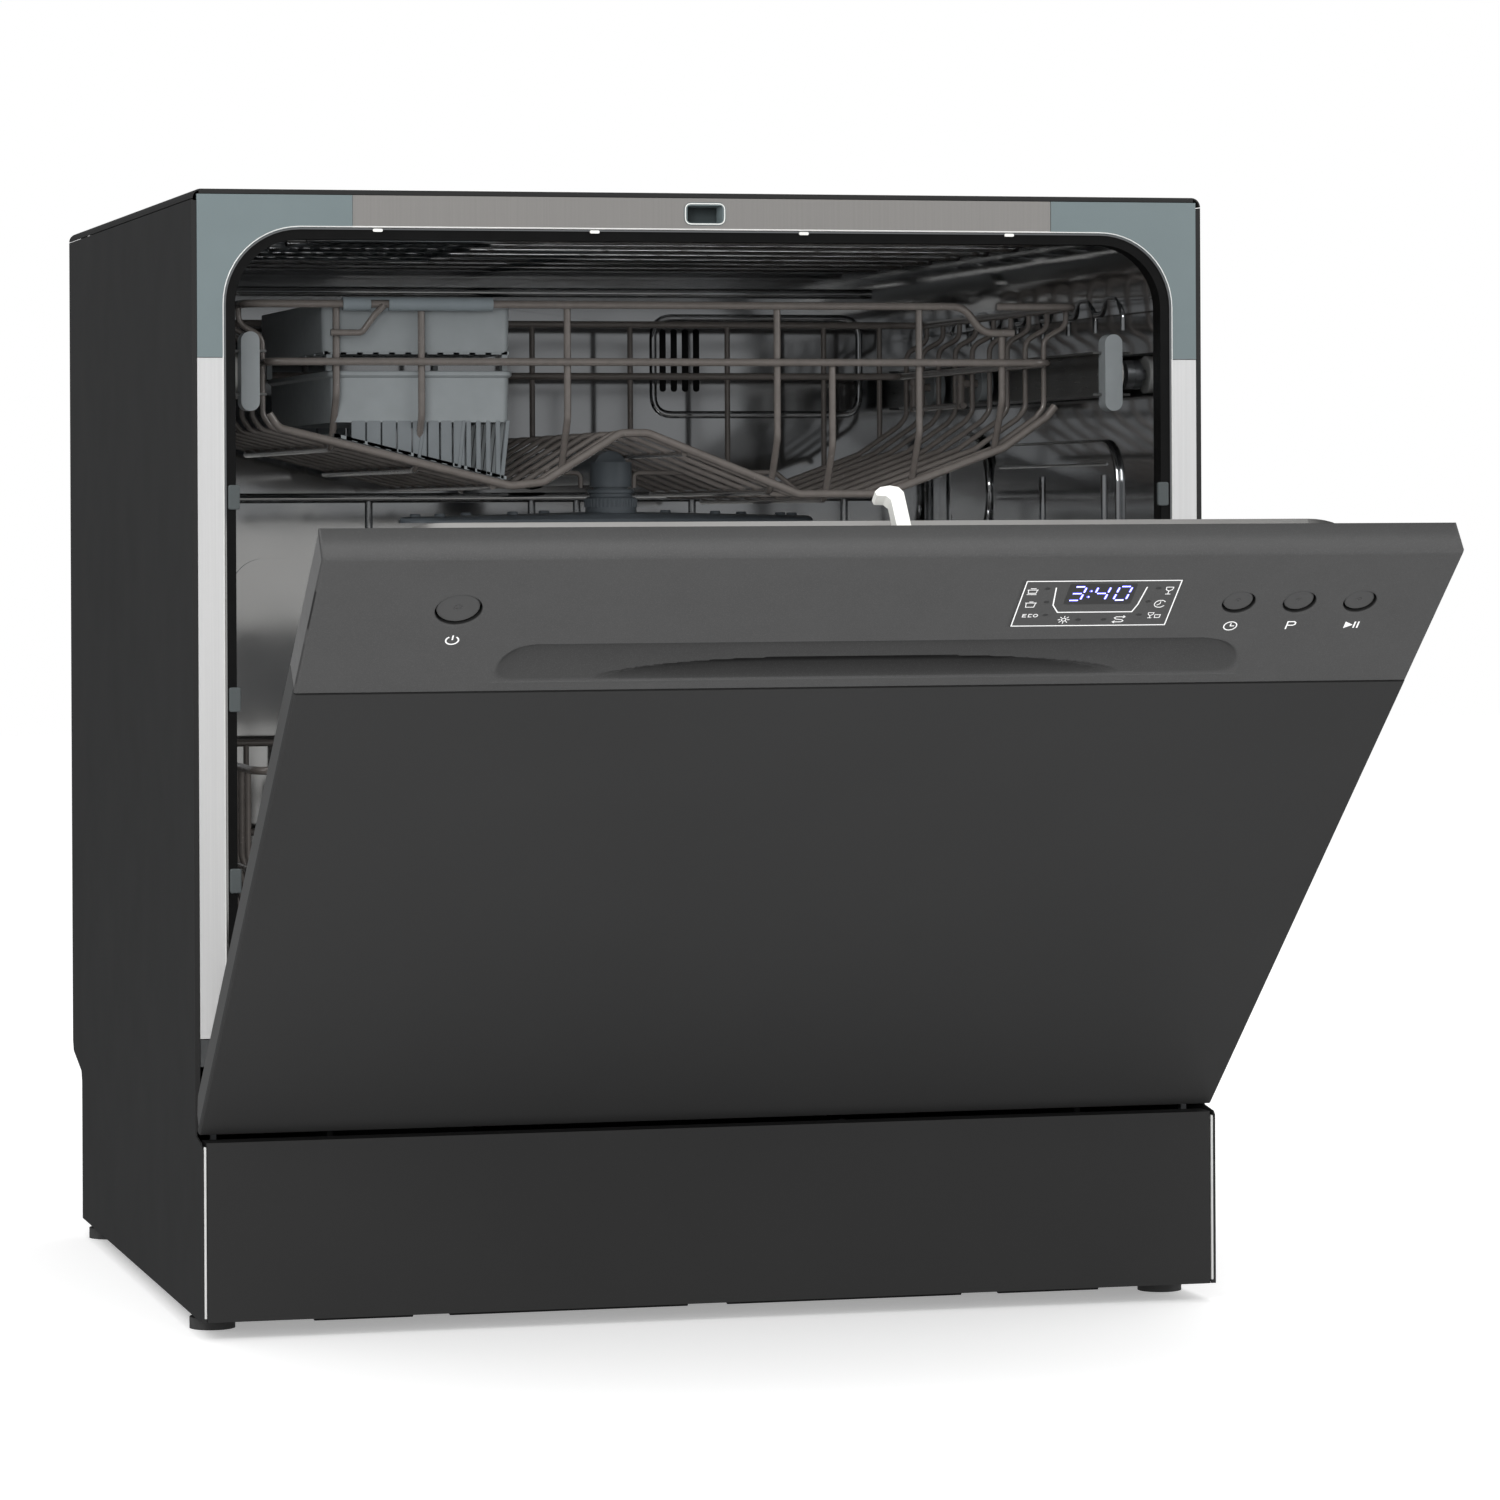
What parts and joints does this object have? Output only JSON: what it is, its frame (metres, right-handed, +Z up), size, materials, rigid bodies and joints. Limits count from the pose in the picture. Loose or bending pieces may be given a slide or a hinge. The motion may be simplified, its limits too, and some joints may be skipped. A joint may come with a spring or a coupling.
{
  "type": "countertop dishwasher",
  "caption": "Countertop dishwasher with a drop-down door standing part way open, an upper and a lower wire rack, spray arms and push-button controls in dark grey.",
  "frame": {"origin": "on the worktop, at the centre of the four feet", "axes": "+Z up, -Y towards the user, where the door opens, +X to the user's right"},
  "size_m": [0.55, 0.8695, 0.595],
  "materials": {
    "painted_steel": "satin dark grey paint",
    "door_paint": "satin dark grey paint",
    "tub_steel": "brushed",
    "bracket_steel": "plain",
    "screw_steel": "bright",
    "tray_plastic": "moulded",
    "foot_plastic": "moulded",
    "gasket_rubber": "matt",
    "grey_plastic": "moulded, blue-grey",
    "console_plastic": "fine grain",
    "button_plastic": "fine grain",
    "display_plastic": "polished",
    "housing_plastic": "moulded, light grey",
    "light_plastic": "moulded, off-white",
    "rack_coating": "taupe nylon coating on steel wire",
    "board": "circuit board",
    "pump_plastic": "moulded",
    "green_plastic": "moulded",
    "dark_plastic": "moulded"
  },
  "bodies": {
    "cabinet": {"side_panels": "painted_steel", "top_panel": "painted_steel", "back_panel": "painted_steel", "base_tray": "tray_plastic", "leveling_feet": "foot_plastic", "kick_plate": "painted_steel", "frame_strips": "tub_steel", "corner_caps": "grey_plastic", "tub_shell": "tub_steel", "tub_back": "tub_steel", "tub_floor": "tub_steel", "door_gasket": "gasket_rubber", "latch_bezel": "grey_plastic", "hinge_brackets": "bracket_steel", "sump": "tray_plastic", "filter_plate": "tub_steel", "softener_tank": "light_plastic", "heater_pump": "pump_plastic", "drain_pump": "green_plastic", "inlet_valve": "light_plastic", "drain_spigot": "tray_plastic", "cord_gland": "tray_plastic", "feed_pipe": "tray_plastic", "roller_axles": "bracket_steel", "panel_screws": "screw_steel"},
    "catch": {"latch_catch": "dark_plastic"},
    "filter": {"filter_cup": "dark_plastic"},
    "salt": {"salt_cap": "dark_plastic"},
    "lower_arm": {"lower_spray_arm": "grey_plastic"},
    "tub_roller_pair_front": {"tub_rollers_front": "light_plastic"},
    "tub_roller_pair_rear": {"tub_rollers_rear": "light_plastic"},
    "rails": {"rack_rails": "tub_steel", "rail_caps": "grey_plastic"},
    "upper_basket": {"upper_rack": "rack_coating", "rack_sleeve": "grey_plastic", "cutlery_basket": "grey_plastic", "cutlery_top": "grey_plastic", "upper_feed_duct": "grey_plastic"},
    "upper_arm": {"upper_spray_arm": "grey_plastic"},
    "rack_wheel_pair_front": {"rack_wheels_front": "grey_plastic"},
    "rack_wheel_pair_rear": {"rack_wheels_rear": "grey_plastic"},
    "lower_basket": {"lower_rack": "rack_coating", "plate_tines": "rack_coating"},
    "lower_wheel_pair_front": {"lower_wheels_front": "grey_plastic"},
    "lower_wheel_pair_rear": {"lower_wheels_rear": "grey_plastic"},
    "door": {"door_front_panel": "door_paint", "door_inner_panel": "tub_steel", "control_panel": "console_plastic", "console_housing": "housing_plastic", "display_window": "display_plastic", "control_board": "board", "latch_hook": "light_plastic", "dispenser_body": "dark_plastic", "hinge_arms": "bracket_steel"},
    "lid": {"dispenser_lid": "pump_plastic"},
    "cap": {"rinse_cap": "dark_plastic"},
    "power": {"power_button": "button_plastic"},
    "delay": {"delay_button": "button_plastic"},
    "program": {"program_button": "button_plastic"},
    "start": {"start_button": "button_plastic"}
  },
  "joints": [
    {"name": "door_hinge", "type": "hinge", "parent": "cabinet", "child": "door", "pos_m": [0, -0.2419, 0.1162], "axis": [1, 0, 0], "range_deg": [-51.5, 38.5]},
    {"name": "upper_rack_slide", "type": "slide", "parent": "cabinet", "child": "upper_basket", "axis": [0, -1, 0], "range_m": [0, 0.36]},
    {"name": "rails_slide", "type": "slide", "parent": "cabinet", "child": "rails", "axis": [0, -1, 0], "range_m": [0, 0.18]},
    {"name": "tub_rollers_front_turn", "type": "hinge", "parent": "cabinet", "child": "tub_roller_pair_front", "pos_m": [0, -0.165, 0.501], "axis": [1, 0, 0], "continuous": true},
    {"name": "tub_rollers_rear_turn", "type": "hinge", "parent": "cabinet", "child": "tub_roller_pair_rear", "pos_m": [0, -0.02, 0.501], "axis": [1, 0, 0], "continuous": true},
    {"name": "rack_wheels_front_turn", "type": "hinge", "parent": "upper_basket", "child": "rack_wheel_pair_front", "pos_m": [0, 0.04, 0.501], "axis": [1, 0, 0], "continuous": true},
    {"name": "rack_wheels_rear_turn", "type": "hinge", "parent": "upper_basket", "child": "rack_wheel_pair_rear", "pos_m": [0, 0.14, 0.501], "axis": [1, 0, 0], "continuous": true},
    {"name": "upper_arm_spin", "type": "hinge", "parent": "upper_basket", "child": "upper_arm", "pos_m": [0, 0, 0.43], "axis": [0, 0, 1], "continuous": true},
    {"name": "lower_rack_slide", "type": "slide", "parent": "cabinet", "child": "lower_basket", "axis": [0, -1, 0], "range_m": [0, 0.07]},
    {"name": "lower_wheels_front_turn", "type": "hinge", "parent": "lower_basket", "child": "lower_wheel_pair_front", "pos_m": [0, -0.14, 0.1535], "axis": [1, 0, 0], "continuous": true},
    {"name": "lower_wheels_rear_turn", "type": "hinge", "parent": "lower_basket", "child": "lower_wheel_pair_rear", "pos_m": [0, 0.12, 0.1535], "axis": [1, 0, 0], "continuous": true},
    {"name": "lower_arm_spin", "type": "hinge", "parent": "cabinet", "child": "lower_arm", "pos_m": [0, 0, 0.165], "axis": [0, 0, 1], "continuous": true},
    {"name": "catch_pivot", "type": "hinge", "parent": "cabinet", "child": "catch", "pos_m": [-0.019, -0.2035, 0.584], "axis": [0, 0, -1], "range_deg": [0, 8], "stiffness_Nm_per_rad": 0.05, "springref_deg": -5.73},
    {"name": "filter_cup_turn", "type": "hinge", "parent": "cabinet", "child": "filter", "pos_m": [0.036, -0.018, 0.11], "axis": [0, 0, 1], "range_deg": [0, 60]},
    {"name": "salt_cap_turn", "type": "hinge", "parent": "cabinet", "child": "salt", "pos_m": [-0.16, -0.09, 0.12], "axis": [0, 0, 1], "range_deg": [0, 90]},
    {"name": "dispenser_lid_hinge", "type": "hinge", "parent": "door", "child": "lid", "pos_m": [0, -0.46975, 0.33833], "axis": [1, 0, 0], "range_deg": [0, 100]},
    {"name": "rinse_cap_turn", "type": "hinge", "parent": "door", "child": "cap", "pos_m": [0.042, -0.43595, 0.314], "axis": [0, 0.6225, 0.7826], "range_deg": [0, 90]},
    {"name": "power_press", "type": "slide", "parent": "door", "child": "power", "axis": [0, 0.6225, 0.7826], "range_m": [0, 0.0015], "stiffness_N_per_m": 800, "springref_m": -0.0005},
    {"name": "delay_press", "type": "slide", "parent": "door", "child": "delay", "axis": [0, 0.6225, 0.7826], "range_m": [0, 0.0015], "stiffness_N_per_m": 800, "springref_m": -0.0005},
    {"name": "program_press", "type": "slide", "parent": "door", "child": "program", "axis": [0, 0.6225, 0.7826], "range_m": [0, 0.0015], "stiffness_N_per_m": 800, "springref_m": -0.0005},
    {"name": "start_press", "type": "slide", "parent": "door", "child": "start", "axis": [0, 0.6225, 0.7826], "range_m": [0, 0.0015], "stiffness_N_per_m": 800, "springref_m": -0.0005}
  ],
  "couplings": [
    {"joint": "rails_slide", "follows": "upper_rack_slide", "ratio": 0.5},
    {"joint": "tub_rollers_front_turn", "follows": "upper_rack_slide", "rad_per_m": 48.077},
    {"joint": "tub_rollers_rear_turn", "follows": "upper_rack_slide", "rad_per_m": 48.077},
    {"joint": "rack_wheels_front_turn", "follows": "upper_rack_slide", "rad_per_m": 47.619},
    {"joint": "rack_wheels_rear_turn", "follows": "upper_rack_slide", "rad_per_m": 47.619},
    {"joint": "lower_wheels_front_turn", "follows": "lower_rack_slide", "rad_per_m": 83.333},
    {"joint": "lower_wheels_rear_turn", "follows": "lower_rack_slide", "rad_per_m": 83.333}
  ]
}
